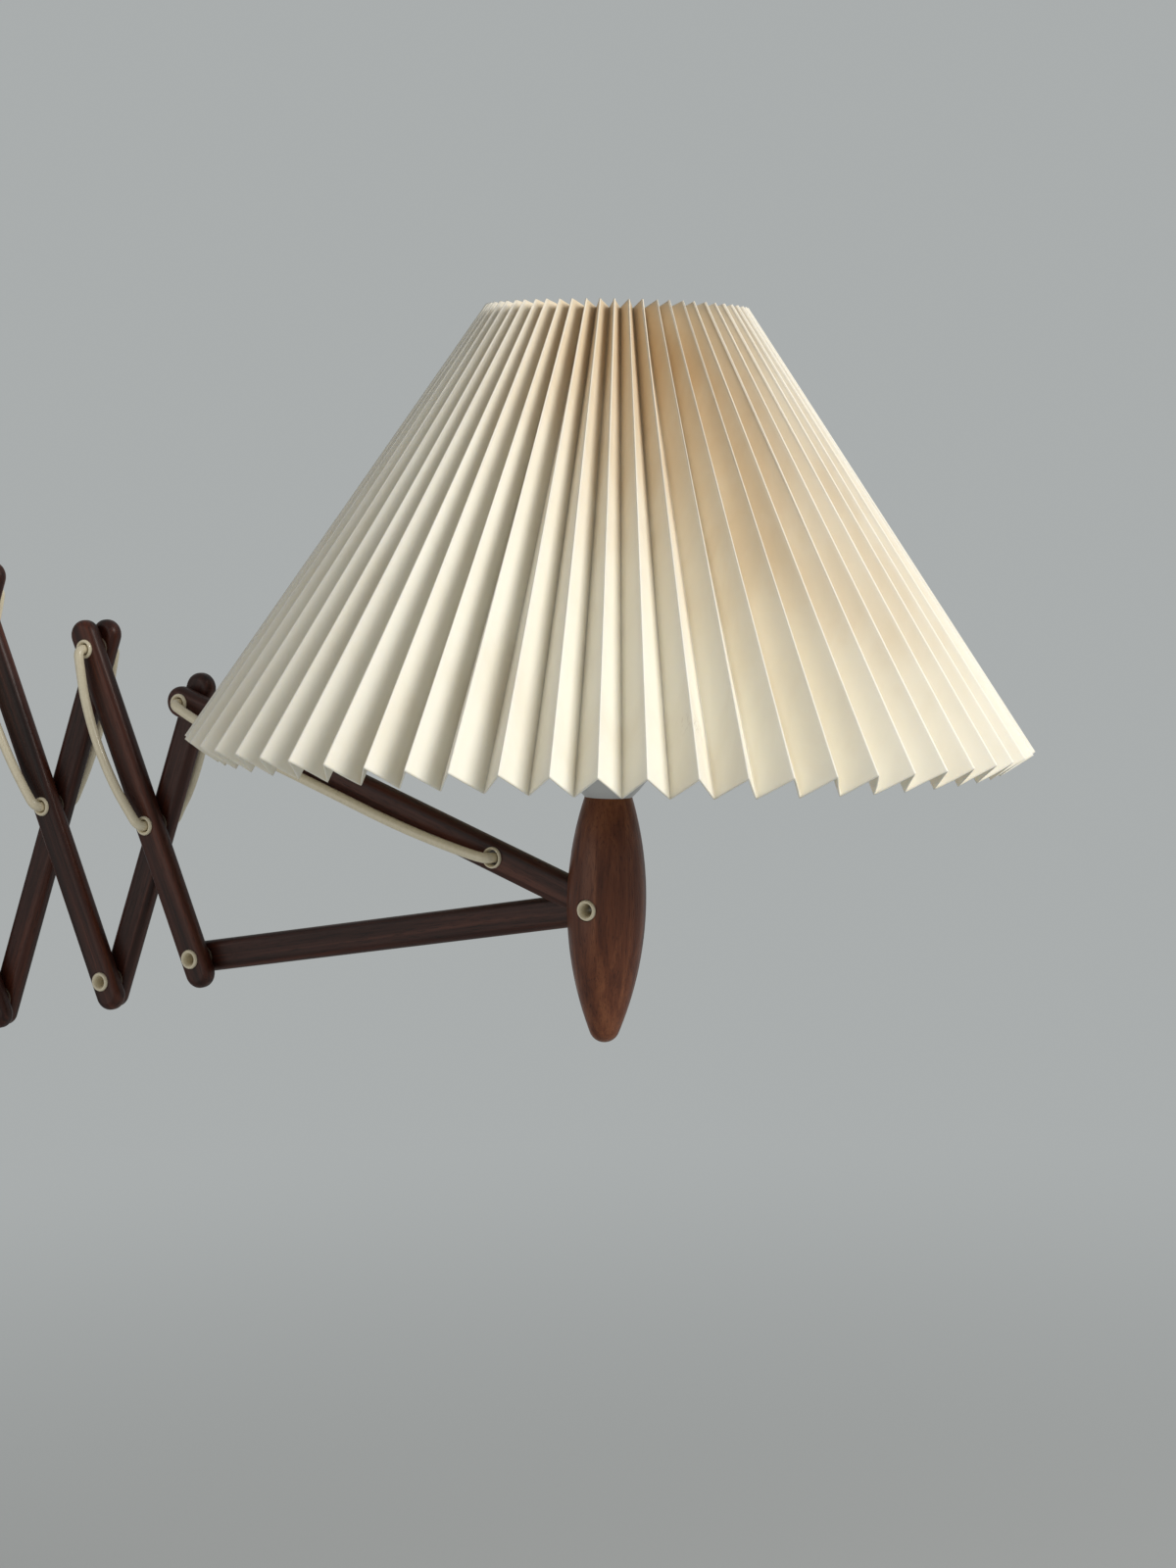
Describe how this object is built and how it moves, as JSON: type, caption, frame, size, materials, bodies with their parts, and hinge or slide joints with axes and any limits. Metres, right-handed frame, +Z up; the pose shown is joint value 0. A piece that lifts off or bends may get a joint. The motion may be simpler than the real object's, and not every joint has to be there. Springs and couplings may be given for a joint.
{
  "type": "accordion wall lamp",
  "caption": "Extending wall lamp: tapered wooden scissor links with hollow rivets and threaded flex carry a turned spindle, a lampholder and a pleated cone shade.",
  "frame": {"origin": "centre of the wall board's back face", "axes": "+X out of the wall towards the shade, +Z up, scissors in the XZ plane"},
  "size_m": [0.6572, 0.35, 0.3976],
  "materials": {
    "dark_wood": "oiled dark reddish-brown hardwood",
    "spindle_wood": "oiled reddish-brown hardwood",
    "cream_plastic": "glossy cream plastic",
    "holder_plastic": "smooth pale grey plastic",
    "shade_paper": "pleated off-white sheet, matt",
    "brass": "brushed brass",
    "steel": "plain steel",
    "ceramic": "white insulator",
    "wire_white": "white lacquered wire",
    "fibre": "dark fibre washer"
  },
  "bodies": {
    "wall_mount": {"wall_board": "dark_wood", "upper_bracket": "brass", "lower_bracket": "brass", "rod": "brass", "stop_ring": "brass", "bracket_screws": "steel", "terminal_block": "ceramic", "outlet_bush": "cream_plastic", "flex_wall": "cream_plastic"},
    "swivel": {"upper_collar": "brass", "flex_collar": "cream_plastic"},
    "slider": {"lower_collar": "brass", "rivet_lower_4": "cream_plastic", "washer_collar": "fibre"},
    "front_arm": {"front_arm": "dark_wood", "rivet_upper_1": "cream_plastic", "washer_front_arm": "fibre", "flex_eyelet": "cream_plastic", "flex_arm": "cream_plastic"},
    "rear_arm": {"rear_arm": "dark_wood", "arm_bush": "cream_plastic"},
    "head": {"spindle": "spindle_wood", "spindle_rivet_front": "cream_plastic", "spindle_rivet_rear": "cream_plastic", "nipple": "brass", "holder_cap": "holder_plastic", "holder_skirt": "holder_plastic", "shade_ring": "holder_plastic", "socket_insulator": "ceramic", "socket_shell": "brass", "centre_contact": "brass", "shade_carrier": "wire_white", "shade": "shade_paper", "flex_spindle": "cream_plastic"},
    "front_link_1": {"front_link_1": "dark_wood", "rivet_upper_2": "cream_plastic", "rivet_centre_1": "cream_plastic", "rivet_lower_1": "cream_plastic", "washers_link_1": "fibre", "flex_front_1": "cream_plastic"},
    "rear_link_1": {"rear_link_1": "dark_wood", "flex_rear_1": "cream_plastic"},
    "front_link_2": {"front_link_2": "dark_wood", "rivet_upper_3": "cream_plastic", "rivet_centre_2": "cream_plastic", "rivet_lower_2": "cream_plastic", "washers_link_2": "fibre", "flex_front_2": "cream_plastic"},
    "rear_link_2": {"rear_link_2": "dark_wood", "flex_rear_2": "cream_plastic"},
    "front_link_3": {"front_link_3": "dark_wood", "rivet_upper_4": "cream_plastic", "rivet_centre_3": "cream_plastic", "rivet_lower_3": "cream_plastic", "washers_link_3": "fibre", "flex_front_3": "cream_plastic"},
    "rear_link_3": {"rear_link_3": "dark_wood", "flex_rear_3": "cream_plastic"}
  },
  "joints": [
    {"name": "swivel_turn", "type": "hinge", "parent": "wall_mount", "child": "swivel", "pos_m": [0.03, 0, 0.118], "axis": [0, 0, 1], "range_deg": [-65, 65]},
    {"name": "fold", "type": "hinge", "parent": "swivel", "child": "front_link_3", "pos_m": [0.056, 0, 0.118], "axis": [0, -1, 0], "range_deg": [-7, 28]},
    {"name": "rear_link_3_turn", "type": "hinge", "parent": "front_link_3", "child": "rear_link_3", "pos_m": [0.10056, 0, 0.00658], "axis": [0, -1, 0], "range_deg": [-56.01, 14.01]},
    {"name": "slider_turn", "type": "hinge", "parent": "rear_link_3", "child": "slider", "pos_m": [0.056, 0, -0.10484], "axis": [0, -1, 0], "range_deg": [-7.01, 28.01]},
    {"name": "front_link_2_turn", "type": "hinge", "parent": "rear_link_3", "child": "front_link_2", "pos_m": [0.1377, 0, 0.09943], "axis": [0, -1, 0], "range_deg": [-14.01, 56.01]},
    {"name": "rear_link_2_turn", "type": "hinge", "parent": "front_link_3", "child": "rear_link_2", "pos_m": [0.14086, 0, -0.09416], "axis": [0, -1, 0], "range_deg": [-56.01, 14.01]},
    {"name": "front_link_1_turn", "type": "hinge", "parent": "rear_link_2", "child": "front_link_1", "pos_m": [0.20715, 0, 0.07158], "axis": [0, -1, 0], "range_deg": [-14.01, 56.01]},
    {"name": "rear_link_1_turn", "type": "hinge", "parent": "front_link_2", "child": "rear_link_1", "pos_m": [0.21012, 0, -0.08162], "axis": [0, -1, 0], "range_deg": [-56.01, 14.01]},
    {"name": "front_arm_turn", "type": "hinge", "parent": "rear_link_1", "child": "front_arm", "pos_m": [0.26155, 0, 0.04697], "axis": [0, -1, 0], "range_deg": [-7.78, 31.09]},
    {"name": "rear_arm_turn", "type": "hinge", "parent": "front_link_1", "child": "rear_arm", "pos_m": [0.26322, 0, -0.06863], "axis": [0, -1, 0], "range_deg": [-33.33, 8.34]},
    {"name": "head_tilt", "type": "hinge", "parent": "front_arm", "child": "head", "pos_m": [0.47927, 0, -0.03714], "axis": [0, -1, 0], "range_deg": [-12, 0.1]}
  ],
  "couplings": [
    {"joint": "rear_link_3_turn", "follows": "fold", "ratio": -2},
    {"joint": "slider_turn", "follows": "fold", "ratio": 1},
    {"joint": "front_link_2_turn", "follows": "fold", "ratio": 2},
    {"joint": "rear_link_2_turn", "follows": "fold", "ratio": -2},
    {"joint": "front_link_1_turn", "follows": "fold", "ratio": 2},
    {"joint": "rear_link_1_turn", "follows": "fold", "ratio": -2},
    {"joint": "front_arm_turn", "follows": "fold", "ratio": 1.11},
    {"joint": "rear_arm_turn", "follows": "fold", "ratio": -1.19}
  ]
}
